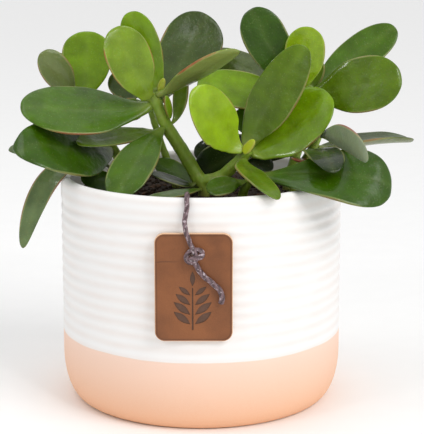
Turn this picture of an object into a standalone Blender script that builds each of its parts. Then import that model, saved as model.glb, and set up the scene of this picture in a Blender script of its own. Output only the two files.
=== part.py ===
"""Jade plant in a ribbed two-tone stoneware pot, with a leather tag on a waxed cord.

Metres, +Z up. The origin is the centre of the pot's flat base and the tag faces -Y.
Plant places are given as (x, y, h) in millimetres at the drawn size: x and y from the pot's axis,
h above the rim. They grow with the pot's diameter.
"""

from math import cos, pi, radians, sin, sqrt

import bmesh
import bpy
from mathutils import Vector

MM = 0.001

# Pot, a turned shell with shallow ribs
POT_DIAMETER = 140 * MM
POT_HEIGHT = 113 * MM
POT_WALL = 5 * MM
POT_FLOOR = 6 * MM
FOOT_CURVE_WIDTH = 10 * MM
FOOT_CURVE_HEIGHT = 24 * MM
RIB_COUNT = 10
RIB_PITCH = 5.4 * MM
RIB_DEPTH = 0.5 * MM
RIB_START = 13 * MM
POT_SEGMENTS = 48

# Potting mix, filling the pot to a little under the rim
SOIL_DROP = 10 * MM

# Tag, a flat rounded plate with one hole under the knot
TAG_WIDTH = 36 * MM
TAG_HEIGHT = 51 * MM
TAG_THICKNESS = 2.4 * MM
TAG_CORNER = 4.6 * MM
TAG_HOLE = 4.4 * MM
TAG_TOP_DROP = 15.5 * MM
TAG_SHIFT = -3 * MM

# Cord and its overhand knot
CORD_DIAMETER = 2.2 * MM
TAIL_DIAMETER = 2.8 * MM
KNOT_WIDTH = 9 * MM
KNOT_HEIGHT = 8.8 * MM
KNOT_DEPTH = 5 * MM
KNOT_DROP = 25 * MM

CORD_COLOUR = (0.19, 0.13, 0.14, 1)

# Fits
GAP = 0.3 * MM

# Plant
LEAF_THICKNESS_SHARE = 0.14
LEAF_THINNEST = 1.6 * MM
PETIOLE_SHARE = 0.16
LEAF_SECTIONS = 9
LEAF_SIDES = 12

POT_RADIUS = POT_DIAMETER / 2
DRAWN_POT_RADIUS = 70 * MM
PLANT_SCALE = POT_RADIUS / DRAWN_POT_RADIUS
INNER_RADIUS = POT_RADIUS - POT_WALL
SOIL_TOP = POT_HEIGHT - SOIL_DROP
TAG_BACK = POT_RADIUS + GAP
TAG_FRONT = TAG_BACK + TAG_THICKNESS
KNOT_CENTRE = TAG_FRONT + GAP + KNOT_DEPTH / 2

# Each stem: its route as (x, y, h) in mm and its radius in mm at the soil and at the top
STEMS = {
    "front": (
        (
            (2, -5, -9), (2, -5, -7), (-1, -5, -3), (-9, -5, 11), (-17, -6, 24), (-20, -7, 31),
            (-24, -8, 40),
        ),
        3.5,
        2.9,
    ),
    "side": (
        (
            (1, -5, -4), (5, -7, -3), (11, -9, 0), (16, -11, 5), (21, -13, 10), (23, -14, 13),
        ),
        3.2,
        2.6,
    ),
    "back": (
        (
            (-13, 14, -9), (-13, 14, -7), (-15, 14, -2), (-21, 14, 14), (-27, 14, 34),
            (-29, 14, 38),
        ),
        1.8,
        1.5,
    ),
    "left": (
        (
            (-36, 8, -9), (-36, 8, -7), (-38, 8, -3), (-43, 9, 8), (-52, 10, 21), (-63, 10, 31),
            (-69, 9, 34),
        ),
        2.5,
        2.1,
    ),
    "right": (
        (
            (44, 10, -9), (44, 10, -7), (45, 10, -3), (50, 12, 15), (51, 14, 30), (52, 14, 41),
        ),
        2.6,
        2.1,
    ),
    "outer": (
        (
            (46, -2, -9), (46, -2, -7), (47, -3, -3), (52, -6, 8), (56, -8, 15), (58, -8, 20),
        ),
        2.2,
        1.9,
    ),
    "low": (
        (
            (20, -28, -9), (20, -28, -7), (21, -30, -3), (23, -31, 1), (24, -33, 3),
        ),
        2.2,
        2.0,
    ),
}

# Each leaf: stem, height on it, tip (x, y, h), width; the way its upper face looks; how far its
# middle bows (x, y, z); how far its edges lift as a share of its width; where it is widest
LEAVES = {
    "leaf_front_01": ("front", 36, (-86, -28, 36), 32, (0, -5, 6), (0, 0, -3), 0.05, 0.64),
    "leaf_front_02": ("front", 38, (18, -24, 63), 22, (-2, 2, 3), (0, 0, 1), 0.06, 0.6),
    "leaf_front_03": ("front", 41, (-42, -20, 73), 23, (1, -3, 1), (0, -1, 0), 0.12, 0.66),
    "leaf_front_04": ("front", 41, (-34, -5, 80), 17, (0, -4, 1), (-1, 0, 0), 0.06, 0.7),
    "leaf_front_05": ("front", 37, (4, 34, 75), 30, (0, -5, 1), (0, 11, 0), 0.06, 0.66),
    "leaf_front_06": ("front", 24, (-9, -2, 51), 8, (-1, -3, 1), (1, 0, 0), 0.06, 0.6),
    "leaf_front_07": ("front", 24, (-41, -44, -5), 20, (0, -1, 1), (0, -2, 2), 0.06, 0.66),
    "leaf_front_08": ("front", -5, (-23, 10, 4), 14, (1, -2, 2), (0, 0, 0), 0.06, 0.6),
    "leaf_front_09": ("front", -3, (-24, -16, 1.5), 11, (0, -1, 3), (0, 0, 0), 0.06, 0.6),
    "leaf_front_10": ("front", -7, (-24, -48, -4.5), 10, (0, -1, 4), (0, -1, 0), 0.06, 0.6),
    "bud_front": ("front", 40, (-18, -9, 48), 3.5, (0, -3, 1), (0, 0, 0), 0.06, 0.5),
    "shoot_front": ("front", 27, (-17, -13, 40), 4, (1, -3, 1), (0, 0, 0), 0.06, 0.6),
    "leaf_side_01": ("side", 11, (-4, -30, 45), 25, (0, -5, 4), (0, 0, 0), 0.1, 0.56),
    "leaf_side_02": ("side", 12, (50, -11, 64), 23, (-1, -4, 1), (1, -3, 0), 0.12, 0.56),
    "leaf_side_03": ("side", 11, (63, -9, 40), 30, (-1, -5, 4), (0, 0, -1), 0.06, 0.62),
    "leaf_side_04": ("side", 10, (36, -66, -1), 15, (1, -1, 3), (-5, -7, 4), 0.06, 0.55),
    "leaf_side_05": ("side", 9, (-2, 8, -4), 20, (0, -3, 1), (0, 0, 0), 0.06, 0.6),
    "leaf_side_06": ("side", 8, (36, -5, 4), 9, (0, -2, 1), (0, 0, 0), 0.06, 0.6),
    "bud_side": ("side", 12, (26, -18, 19), 5, (0, -1, 1), (0, 0, 0), 0.06, 0.5),
    "leaf_back_01": ("back", 33, (-40, 8, 28), 12, (0, -3, 1), (0, 0, 0), 0.06, 0.6),
    "leaf_back_02": ("back", 37, (-46, 24, 46), 15, (0, -3, 1), (0, 0, 0), 0.06, 0.6),
    "leaf_back_03": ("back", 20, (-59, -26, 18), 17, (0, -1, 2), (0, 0, 0), 0.06, 0.6),
    "leaf_back_04": ("back", 33, (-30, 58, 42), 24, (0, 1, 3), (0, 0, 2), 0.06, 0.6),
    "leaf_left_01": ("left", 31, (-58, 24, 68), 25, (0, -4, 1), (1, 4, 0), 0.06, 0.7),
    "leaf_left_02": ("left", 33, (-78, 4, 60), 15, (-1, 2, 1), (0, 0, 0), 0.06, 0.62),
    "leaf_left_03": ("left", 29, (-76, 36, 56), 15, (0, -3, 1), (-3, 2, 0), 0.06, 0.6),
    "leaf_left_04": ("left", 10, (-87, -36, 22.5), 31, (0, -5, 4), (0, -18, 0), 0.05, 0.56),
    "leaf_left_05": ("left", 12, (-99, 22, 8), 15, (0, -1, 2), (0, 0, 0), 0.06, 0.6),
    "leaf_left_06": ("left", -4, (-88, -18, -35), 11, (1, -3, 0.5), (-4, -10, 35.5), 0.06, 0.72),
    "leaf_left_07": ("left", -5, (-59, -12, -2), 13, (0, -4, 3), (0, 0, 0), 0.06, 0.6),
    "leaf_left_08": ("left", 20, (-74, 54, 34), 20, (0, 0, 1), (0, 0, 2), 0.06, 0.6),
    "leaf_right_01": ("right", 38, (99, 0, 47.5), 28, (0, -3, 1), (0, -1, 0), 0.05, 0.66),
    "leaf_right_02": ("right", 39, (101, 45, 68), 20, (-1, -3, 1), (0, 5, 0), 0.06, 0.66),
    "leaf_right_03": ("right", 41, (52, 4, 72), 20, (0, -4, 1), (0, 0, 0), 0.06, 0.66),
    "leaf_right_04": ("right", 41, (24, 20, 79), 22, (0, -4, 1), (0, 0, 0), 0.06, 0.7),
    "leaf_right_05": ("right", 37, (4, 44, 55), 17, (0, -2, 1), (0, 3, 0), 0.06, 0.6),
    "leaf_right_06": ("right", 33, (-2, 4, 43), 24, (0, -1, 1), (0, 0, 1), 0.06, 0.6),
    "leaf_right_07": ("right", 41, (60, 16, 54), 8, (0, -3, 1), (0, 0, 0), 0.06, 0.6),
    "leaf_right_08": ("right", 20, (16, 8, 26), 18, (0, -2, 1), (0, 0, 0), 0.06, 0.6),
    "leaf_right_09": ("right", 25, (70, 52, 34), 24, (0, 0, 1), (0, 0, 2), 0.06, 0.6),
    "leaf_right_10": ("right", 6, (-4, 28, 6), 18, (0, -3, 1), (0, 0, 0), 0.06, 0.6),
    "leaf_outer_01": ("outer", 20, (77, -55, 14.5), 12, (2, 1, 0), (0, -6, 8), 0.06, 0.55),
    "leaf_outer_02": ("outer", 13, (107, 14, 13.5), 20, (0, 0, 1), (0, 0, 3), 0.15, 0.6),
    "leaf_outer_03": ("outer", 12, (62, -56, 9.5), 17, (0, -1, 2), (-1, -2, 8), 0.06, 0.66),
    "leaf_outer_04": ("outer", 8, (48, -22, 9), 11, (0, -1, 2), (0, 0, 0), 0.06, 0.6),
    "leaf_low_01": ("low", 3, (90, -43, 0.5), 34, (0, -5, 4), (0, -11, 7.5), 0.04, 0.7),
    "leaf_low_02": ("low", -1, (3, -35, -3), 15, (0, -1, 2), (0, 0, 0), 0.06, 0.6),
}

# The leaves that twist: the way the upper face looks where they leave the stem
TWISTED = {
    "leaf_left_06": (0, 0, 1),
    "leaf_low_01": (0, -1, 5),
}

PART = bpy.data.collections.new("jade_plant")
CUTTERS = bpy.data.collections.new("cutters")


def start_empty():
    for item in list(bpy.data.objects):
        bpy.data.objects.remove(item, do_unlink=True)
    bpy.context.scene.collection.children.link(PART)
    bpy.context.scene.collection.children.link(CUTTERS)


def material(name, colour, roughness, coat=0.0):
    made = bpy.data.materials.new(name)
    made.use_nodes = True
    shader = made.node_tree.nodes["Principled BSDF"]
    shader.inputs["Base Color"].default_value = colour
    shader.inputs["Roughness"].default_value = roughness
    shader.inputs["Coat Weight"].default_value = coat
    return made


def ceramic():
    return material("matte_glazed_stoneware", (0.86, 0.82, 0.79, 1), 0.55)


def potting_mix():
    return material("potting_mix", (0.035, 0.022, 0.014, 1), 0.95)


def stem_skin():
    return material("stem_skin", (0.13, 0.22, 0.035, 1), 0.45)


def leaf_skin():
    return material("leaf_skin", (0.09, 0.22, 0.025, 1), 0.32, 0.3)


def leather():
    return material("tan_leather", (0.27, 0.105, 0.038, 1), 0.6)


def waxed_cord(name):
    return material(name, CORD_COLOUR, 0.5)


def keep(item, skin, collection=PART):
    """Puts the object in its collection with its material, smooth where it is round."""
    collection.objects.link(item)
    item.data.materials.append(skin)
    return item


def mesh_object(name, bm):
    mesh = bpy.data.meshes.new(name)
    bm.normal_update()
    bmesh.ops.recalc_face_normals(bm, faces=bm.faces)
    for face in bm.faces:
        face.smooth = True
    bm.to_mesh(mesh)
    bm.free()
    return bpy.data.objects.new(name, mesh)


def turned(name, profile, skin):
    """A solid turned about Z from (radius, height) points that end on the axis."""
    bm = bmesh.new()
    corners = [bm.verts.new((radius, 0, height)) for radius, height in profile]
    for first, second in zip(corners, corners[1:]):
        bm.edges.new((first, second))
    mesh = bpy.data.meshes.new(name)
    bm.to_mesh(mesh)
    bm.free()
    item = keep(bpy.data.objects.new(name, mesh), skin)
    screw = item.modifiers.new("turn", "SCREW")
    screw.axis = "Z"
    screw.steps = POT_SEGMENTS
    screw.render_steps = POT_SEGMENTS
    screw.use_merge_vertices = True
    screw.merge_threshold = 0.00001
    screw.use_smooth_shade = True
    return item


def quarter(count):
    """Angles of a quarter turn, both ends included."""
    return [pi / 2 * step / count for step in range(count + 1)]


def cavity(inset):
    """The inside of the pot, from the floor's centre up the wall, moved inward by inset."""
    curve = FOOT_CURVE_WIDTH
    floor = POT_FLOOR + inset
    wall = INNER_RADIUS - inset
    bend = [(wall - curve + curve * sin(a), floor + curve - curve * cos(a)) for a in quarter(4)]
    return [(0, floor)] + bend


def rib_points():
    """The ribbed band, a groove and a ridge by turns."""
    points = []
    for number in range(RIB_COUNT + 1):
        ridge = POT_HEIGHT - RIB_START - number * RIB_PITCH
        points.append((POT_RADIUS, ridge))
        if number < RIB_COUNT:
            points.append((POT_RADIUS - RIB_DEPTH, ridge - RIB_PITCH / 2))
    return points


def foot_points():
    """The rounded lower edge, down to the flat base."""
    inset = POT_RADIUS - FOOT_CURVE_WIDTH
    width = FOOT_CURVE_WIDTH
    height = FOOT_CURVE_HEIGHT
    return [(inset + width * cos(a), height - height * sin(a)) for a in quarter(7)]


def lip_points():
    """The rounded lip, from the inside over the top to the outside."""
    lip = POT_WALL / 2
    middle = POT_RADIUS - lip
    turns = [pi - pi * step / 8 for step in range(9)]
    return [(middle + lip * cos(a), POT_HEIGHT - lip + lip * sin(a)) for a in turns]


def pot():
    profile = cavity(0) + lip_points() + rib_points() + foot_points() + [(0, 0)]
    return turned("pot", profile, ceramic())


def soil():
    rim = INNER_RADIUS - GAP
    surface = [(rim, SOIL_TOP - 1 * MM), (rim - 2 * MM, SOIL_TOP), (0, SOIL_TOP)]
    return turned("soil", list(reversed(cavity(GAP) + surface)), potting_mix())


def place(spot):
    """The drawn (x, y, h) in millimetres as a point of the part."""
    x, y, h = spot
    scale = MM * PLANT_SCALE
    return Vector((x * scale, y * scale, POT_HEIGHT + h * scale))


def smooth_route(points, step):
    """A Catmull-Rom curve through the points, read about every step."""
    ends = [points[0] * 2 - points[1]] + points + [points[-1] * 2 - points[-2]]
    route = []
    for a, b, c, d in zip(ends, ends[1:], ends[2:], ends[3:]):
        count = max(1, round((c - b).length / step))
        for number in range(count):
            t = number / count
            bend = (c - a) * t + (a * 2 - b * 5 + c * 4 - d) * t**2 + (b * 3 - a - c * 3 + d) * t**3
            route.append(b + bend / 2)
    return route + [points[-1]]


def tube(name, route, start_radius, end_radius, sides):
    curve = bpy.data.curves.new(name, "CURVE")
    curve.dimensions = "3D"
    curve.bevel_depth = start_radius
    curve.bevel_resolution = sides
    curve.use_fill_caps = True
    line = curve.splines.new("POLY")
    line.points.add(len(route) - 1)
    for number, (point, spot) in enumerate(zip(line.points, route)):
        share = number / (len(route) - 1)
        point.co = (*spot, 1)
        point.radius = 1 + (end_radius / start_radius - 1) * share
    return bpy.data.objects.new(name, curve)


def stem_route(key):
    points = [place(spot) for spot in STEMS[key][0]]
    if key != "side":
        points[0].z = SOIL_TOP + GAP
    return smooth_route(points, 4 * MM)


def stem_radius(key, share):
    start, end = STEMS[key][1:]
    return (start + (end - start) * share) * MM * PLANT_SCALE


def stem_tube(key):
    return tube(f"stem_{key}", stem_route(key), stem_radius(key, 0), stem_radius(key, 1), 2)


def solid_from(curve_item):
    """The tube as a mesh object, which a Boolean can join."""
    bpy.context.scene.collection.objects.link(curve_item)
    ready = curve_item.evaluated_get(bpy.context.evaluated_depsgraph_get())
    mesh = bpy.data.meshes.new_from_object(ready)
    name = curve_item.name
    bpy.data.objects.remove(curve_item, do_unlink=True)
    return bpy.data.objects.new(name, mesh)


def forked_stem():
    """The front stem with its side branch, grown as one."""
    main = keep(solid_from(stem_tube("front")), stem_skin())
    branch = keep(solid_from(stem_tube("side")), stem_skin(), CUTTERS)
    branch.hide_render = True
    union = main.modifiers.new("fork", "BOOLEAN")
    union.operation = "UNION"
    union.solver = "EXACT"
    union.object = branch


def stems():
    forked_stem()
    for key in ("back", "left", "right", "outer", "low"):
        keep(stem_tube(key), stem_skin())


def on_stem(key, height):
    """The point of a stem at a drawn height, its direction there and its radius."""
    route = stem_route(key)
    level = place((0, 0, height)).z
    for number, (low, high) in enumerate(zip(route, route[1:])):
        if high.z >= level:
            break
    share = min(1, max(0, (level - low.z) / (high.z - low.z)))
    return low.lerp(high, share), (high - low).normalized(), stem_radius(key, number / len(route))


def half_width(t, widest):
    """A leaf's half width at t, as a share: a narrow stalk, a full middle and a round tip."""
    if t < widest:
        return PETIOLE_SHARE + (1 - PETIOLE_SHARE) * sin(pi / 2 * t / widest) ** 1.3
    return sqrt(max(0, 1 - ((t - widest) / (1 - widest)) ** 2.2))


def bezier(a, b, c, d, t):
    s = 1 - t
    return a * s**3 + b * 3 * s * s * t + c * 3 * s * t * t + d * t**3


def bezier_slope(a, b, c, d, t):
    s = 1 - t
    return ((b - a) * s * s + (c - b) * 2 * s * t + (d - c) * t * t).normalized()


def leaf(name, skin):
    """One thick leaf, leaving its stem squarely and bending to its tip."""
    key, height, tip, width, face, bow, lift, widest = LEAVES[name]
    spot, along, radius = on_stem(key, height)
    end = place(tip)
    out = end - spot
    out = (out - along * out.dot(along)).normalized()
    start = spot + out * (radius + GAP)
    chord = end - start
    side = chord.cross(Vector(face)).normalized()
    first_side = chord.cross(Vector(TWISTED.get(name, face))).normalized()
    bend = Vector(bow) * MM * PLANT_SCALE
    reach = min(0.16 * chord.length, 7 * MM * PLANT_SCALE)
    spine = (start, start + out * reach + bend * 0.5, start + chord * 0.66 + bend * 1.3, end)
    half = width * MM * PLANT_SCALE / 2
    thick = max(LEAF_THINNEST, width * MM * LEAF_THICKNESS_SHARE) * PLANT_SCALE / 2
    bm = bmesh.new()
    bmesh.ops.create_uvsphere(bm, u_segments=LEAF_SIDES, v_segments=LEAF_SECTIONS, radius=1)
    for vert in bm.verts:
        t = (1 - vert.co.z) / 2
        ring = sqrt(max(0, 1 - vert.co.z**2))
        middle = bezier(*spine, t)
        slope = bezier_slope(*spine, t)
        turned_side = first_side.lerp(side, min(1, 1.3 * t * t))
        across = (turned_side - slope * turned_side.dot(slope)).normalized()
        normal = across.cross(slope)
        if ring < 0.001:
            vert.co = middle
            continue
        u = vert.co.x / ring
        v = vert.co.y / ring
        wide = half * half_width(t, widest)
        deep = thick * min(1, 0.35 + half_width(t, widest) * 0.9) if t > widest else thick
        vert.co = middle + across * wide * u + normal * (deep * v + lift * 2 * wide * u * u)
    return keep(mesh_object(name, bm), skin)


def leaves():
    skin = leaf_skin()
    for name in LEAVES:
        leaf(name, skin)


def tag_outline():
    """The rounded plate's corners, anticlockwise seen from the front."""
    x = TAG_WIDTH / 2 - TAG_CORNER
    z = TAG_HEIGHT / 2 - TAG_CORNER
    outline = []
    for turn, (sx, sz) in enumerate(((1, -1), (1, 1), (-1, 1), (-1, -1))):
        for angle in quarter(5):
            a = angle + (turn - 1) * pi / 2
            outline.append((sx * x + TAG_CORNER * cos(a), sz * z + TAG_CORNER * sin(a)))
    return outline


def tag():
    bm = bmesh.new()
    face = bm.faces.new([bm.verts.new((x, 0, z)) for x, z in tag_outline()])
    drawn = bmesh.ops.extrude_face_region(bm, geom=[face])
    moved = [part for part in drawn["geom"] if isinstance(part, bmesh.types.BMVert)]
    bmesh.ops.translate(bm, verts=moved, vec=(0, -TAG_THICKNESS, 0))
    item = keep(mesh_object("tag", bm), leather())
    item.location = (TAG_SHIFT, -TAG_BACK, POT_HEIGHT - TAG_TOP_DROP - TAG_HEIGHT / 2)
    item.data.shade_flat()
    hole = item.modifiers.new("hole", "BOOLEAN")
    hole.operation = "DIFFERENCE"
    hole.solver = "EXACT"
    hole.object = tag_hole_cutter()
    return item


def tag_hole_cutter():
    bm = bmesh.new()
    depth = TAG_THICKNESS * 3
    size = TAG_HOLE / 2
    bmesh.ops.create_cone(bm, cap_ends=True, segments=20, radius1=size, radius2=size, depth=depth)
    item = keep(mesh_object("tag_hole", bm), leather(), CUTTERS)
    item.rotation_euler.x = radians(90)
    item.location = (TAG_SHIFT, -TAG_BACK - TAG_THICKNESS / 2, POT_HEIGHT - KNOT_DROP)
    item.hide_render = True
    return item


def over_the_lip():
    """The cord's way over the lip, as (distance from the axis, height)."""
    lip = POT_WALL / 2
    clear = lip + GAP * 2 + CORD_DIAMETER / 2
    middle = POT_RADIUS - lip
    turns = [pi - pi * step / 6 for step in range(7)]
    return [(middle + clear * cos(a), POT_HEIGHT - lip + clear * sin(a)) for a in turns]


def cord():
    """From the potting mix, over the lip, down in front of the tag to the knot."""
    x = -6 * MM
    bend = over_the_lip()
    start = (bend[0][0], SOIL_TOP + GAP)
    front = TAG_FRONT + GAP + CORD_DIAMETER / 2
    tag_top = POT_HEIGHT - TAG_TOP_DROP
    knot_top = POT_HEIGHT - KNOT_DROP + KNOT_HEIGHT / 2
    points = [Vector((x, -away, z)) for away, z in [start] + bend]
    points.append(Vector((x - 0.2 * MM, -bend[-1][0], POT_HEIGHT - 5 * MM)))
    points.append(Vector((x - 1 * MM, -bend[-1][0] - GAP, tag_top + 6 * MM)))
    points.append(Vector((x - 0.4 * MM, -front, tag_top + 1 * MM)))
    points.append(Vector((TAG_SHIFT - 1 * MM, -front, knot_top + GAP)))
    radius = CORD_DIAMETER / 2
    return keep(tube("cord", smooth_route(points, 4 * MM), radius, radius, 2), waxed_cord("waxed_cord"))


def knot():
    bm = bmesh.new()
    bmesh.ops.create_uvsphere(bm, u_segments=16, v_segments=10, radius=0.5)
    bmesh.ops.scale(bm, vec=(KNOT_WIDTH, KNOT_DEPTH, KNOT_HEIGHT), verts=bm.verts)
    item = keep(mesh_object("cord_knot", bm), waxed_cord("waxed_cord_knot"))
    item.location = (TAG_SHIFT, -KNOT_CENTRE, POT_HEIGHT - KNOT_DROP)
    return item


def tail():
    """The loose end below the knot, lying on the tag."""
    front = -(TAG_FRONT + GAP + TAIL_DIAMETER / 2)
    top = POT_HEIGHT - KNOT_DROP - KNOT_HEIGHT / 2 - GAP * 3
    offsets = ((0.5, 0), (4, 4), (8.5, 8), (12, 11.5), (13, 14.5), (12.5, 18))
    points = [Vector((TAG_SHIFT + x * MM, front, top - drop * MM)) for x, drop in offsets]
    radius = TAIL_DIAMETER / 2
    item = tube("cord_tail", smooth_route(points, 5 * MM), radius, radius, 2)
    return keep(item, waxed_cord("waxed_cord_tail"))


start_empty()
pot()
soil()
stems()
leaves()
tag()
cord()
knot()
tail()
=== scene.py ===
"""A jade plant in a ribbed stoneware pot, with a leather tag on a waxed cord.

The file follows the plant as it is put together: pot, potting mix, stems, leaves, tag and cord.
Lengths are in metres unless a name ends in mm. The tag faces -Y.
"""

import math
import random

import bpy
import numpy as np
from mathutils import Matrix, Vector, noise


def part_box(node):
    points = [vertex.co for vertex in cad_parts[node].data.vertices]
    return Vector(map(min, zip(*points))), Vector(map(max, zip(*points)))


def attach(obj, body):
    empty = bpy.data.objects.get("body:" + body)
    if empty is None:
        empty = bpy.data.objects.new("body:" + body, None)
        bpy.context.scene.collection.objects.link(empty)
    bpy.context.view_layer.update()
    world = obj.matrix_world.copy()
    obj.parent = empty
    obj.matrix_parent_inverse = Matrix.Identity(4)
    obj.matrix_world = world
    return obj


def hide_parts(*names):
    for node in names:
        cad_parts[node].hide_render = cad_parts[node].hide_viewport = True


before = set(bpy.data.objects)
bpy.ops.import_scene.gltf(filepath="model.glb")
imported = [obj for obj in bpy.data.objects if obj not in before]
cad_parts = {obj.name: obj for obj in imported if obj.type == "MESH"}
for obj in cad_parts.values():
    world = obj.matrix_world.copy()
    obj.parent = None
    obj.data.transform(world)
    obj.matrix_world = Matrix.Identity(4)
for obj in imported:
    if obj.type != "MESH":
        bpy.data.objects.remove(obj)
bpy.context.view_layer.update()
MM = 0.001

# ---------------------------------------------------------------------------------------------
# Camera, floor and light: a studio shot from a little above the rim, on white paper, under
# large soft lamps. The right side of the pot is nearly as bright as the paper.

bpy.context.scene.view_settings.view_transform = "Standard"

CAMERA_PLACE = (0.0054, -0.7359, 0.2446)
CAMERA_TILT = math.radians(78.13)
LENS_MM = 123.93
SENSOR_MM = 36
PAPER_CLOUD = 1 / 60
LAMP_AIM = Vector((0, 0, 0.11))

bpy.ops.object.camera_add(location=CAMERA_PLACE, rotation=(CAMERA_TILT, 0, 0))
camera = bpy.context.object
camera.data.lens = LENS_MM
camera.data.sensor_width = SENSOR_MM
bpy.context.scene.camera = camera


def linear(hex_colour):
    """An sRGB hex colour as the linear values that a shader takes."""
    parts = [int(hex_colour[place : place + 2], 16) / 255 for place in (1, 3, 5)]
    return (*[c / 12.92 if c <= 0.04045 else ((c + 0.055) / 1.055) ** 2.4 for c in parts], 1)


def wire(tree, kind, inputs=(), out=0, **settings):
    """Adds a shader node and gives one of its outputs. An input is a value, or a socket to link."""
    node = tree.nodes.new(f"ShaderNode{kind}")
    for key, value in settings.items():
        setattr(node, key, value)
    filled = inputs if isinstance(inputs, dict) else dict(enumerate(inputs))
    for socket, value in filled.items():
        if isinstance(value, bpy.types.NodeSocket):
            tree.links.new(value, node.inputs[socket])
        else:
            node.inputs[socket].default_value = value
    return node.outputs[out]


def new_material(name):
    """An empty node material: its tree and its principled shader."""
    made = bpy.data.materials.new(name)
    made.use_nodes = True
    return made, made.node_tree, made.node_tree.nodes["Principled BSDF"]


def white_paper():
    """Matte studio paper: even and pale, with faint clouds of tone some 17 mm across."""
    made, tree, shader = new_material("studio_paper")
    spot = wire(tree, "TexCoord", out="Object")
    cloud = wire(tree, "TexNoise", {"Vector": spot, "Scale": 1 / PAPER_CLOUD}, "Fac")
    ends = {0: cloud, 6: linear("#FCFCFC"), 7: linear("#FFFFFF")}
    tree.links.new(wire(tree, "Mix", ends, 2, data_type="RGBA"), shader.inputs["Base Color"])
    shader.inputs["Roughness"].default_value = 0.9
    return made


bpy.ops.object.select_all(action="DESELECT")
bpy.ops.mesh.primitive_plane_add(size=16, location=(0, 4, 0))
floor = bpy.context.object
floor.name = "floor"
floor.data.materials.append(white_paper())


def soft_lamp(name, place, size, power, colour):
    """A large square lamp that looks at the plant."""
    bpy.ops.object.light_add(type="AREA", location=place)
    lamp = bpy.context.object
    lamp.name = name
    lamp.data.size = size
    lamp.data.energy = power
    lamp.data.color = linear(colour)[:3]
    aim = LAMP_AIM - Vector(place)
    lamp.rotation_euler = aim.to_track_quat("-Z", "Y").to_euler()


soft_lamp("key", (0.9, -0.9, 0.95), 0.9, 2.6, "#FFFDF8")
soft_lamp("top", (-0.6, -0.2, 1.3), 0.7, 2.6, "#FFFFFF")
soft_lamp("left_strip", (-0.75, -0.75, 0.75), 0.1, 1.1, "#FFFFFF")
soft_lamp("right_strip", (0.5, -0.9, 0.85), 0.1, 1.1, "#FFFFFF")


def far_light(name, tilt, turn, power, spread):
    """Even light from a window or a ceiling, its shadows softened by the spread, in degrees."""
    bpy.ops.object.light_add(type="SUN", rotation=(math.radians(tilt), 0, math.radians(turn)))
    lamp = bpy.context.object
    lamp.name = name
    lamp.data.energy = power
    lamp.data.angle = math.radians(spread)


far_light("large_window", 52, 52, 0.85, 35)
far_light("ceiling_bank", -22, 0, 0.33, 50)

world = bpy.data.worlds.new("studio")
bpy.context.scene.world = world
world.use_nodes = True
world.node_tree.nodes["Background"].inputs["Color"].default_value = linear("#FFFFFF")
world.node_tree.nodes["Background"].inputs["Strength"].default_value = 0.57

# ---------------------------------------------------------------------------------------------
# Pot: stoneware thrown on a wheel, with shallow rings left by the fingers. Its upper part is dipped
# in a matte white glaze. The foot is bare peach clay, rounded into a flat base.

pot_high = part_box("pot")[1]
POT_RADIUS = pot_high.x
POT_HEIGHT = pot_high.z
POT_WALL = 5 * MM
POT_FLOOR = 6 * MM
RING_PITCH = 5.4 * MM
RING_DEPTH = 0.55 * MM
RING_COUNT = 11
RING_STEPS = 8
FIRST_RING = 10.3 * MM
FOOT_WIDTH = 10 * MM
FOOT_HEIGHT = 24 * MM
GLAZE_LINE = 34.9 * MM
GLAZE_SWAY = 1.2 * MM
GLAZE_FADE = 0.5 * MM
TURN_STEPS = 180


def select_only(item):
    bpy.ops.object.select_all(action="DESELECT")
    item.select_set(True)
    bpy.context.view_layer.objects.active = item


def turn_outline(name, outline, steps=TURN_STEPS):
    """Draws (radius, height) points as a chain of edges and spins it once round the axis."""
    bpy.ops.object.select_all(action="DESELECT")
    bpy.ops.mesh.primitive_plane_add(size=1 * MM)
    item = bpy.context.object
    item.name = name
    bpy.ops.object.mode_set(mode="EDIT")
    bpy.ops.mesh.select_all(action="SELECT")
    bpy.ops.mesh.merge(type="CENTER")
    bpy.ops.transform.translate(value=(outline[0][0], 0, outline[0][1]))
    for (r0, z0), (r1, z1) in zip(outline, outline[1:]):
        bpy.ops.mesh.extrude_vertices_move(TRANSFORM_OT_translate={"value": (r1 - r0, 0, z1 - z0)})
    bpy.ops.mesh.select_all(action="SELECT")
    bpy.ops.mesh.spin(steps=steps, angle=math.tau, center=(0, 0, 0), axis=(0, 0, 1))
    bpy.ops.mesh.select_all(action="SELECT")
    bpy.ops.mesh.remove_doubles(threshold=0.00001)
    bpy.ops.mesh.normals_make_consistent(inside=False)
    bpy.ops.object.mode_set(mode="OBJECT")
    bpy.ops.object.shade_smooth()
    return item


def arc(centre, size, start, end, count):
    """Points on a quarter or half ellipse, angles in degrees."""
    turns = [math.radians(start + (end - start) * step / count) for step in range(count + 1)]
    return [(centre[0] + size[0] * math.cos(a), centre[1] + size[1] * math.sin(a)) for a in turns]


def ring_outline():
    """The outside of the wall from the lip down, each throwing ring a little unlike the next."""
    points = []
    for number in range(RING_COUNT):
        depth = RING_DEPTH * (0.8 + 0.25 * math.sin(number * 2.3))
        for step in range(RING_STEPS):
            share = step / RING_STEPS
            groove = (1 - math.cos(math.tau * share)) / 2
            drop = FIRST_RING + (number + share) * RING_PITCH
            points.append((POT_RADIUS - depth * groove, POT_HEIGHT - drop))
    return points


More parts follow.
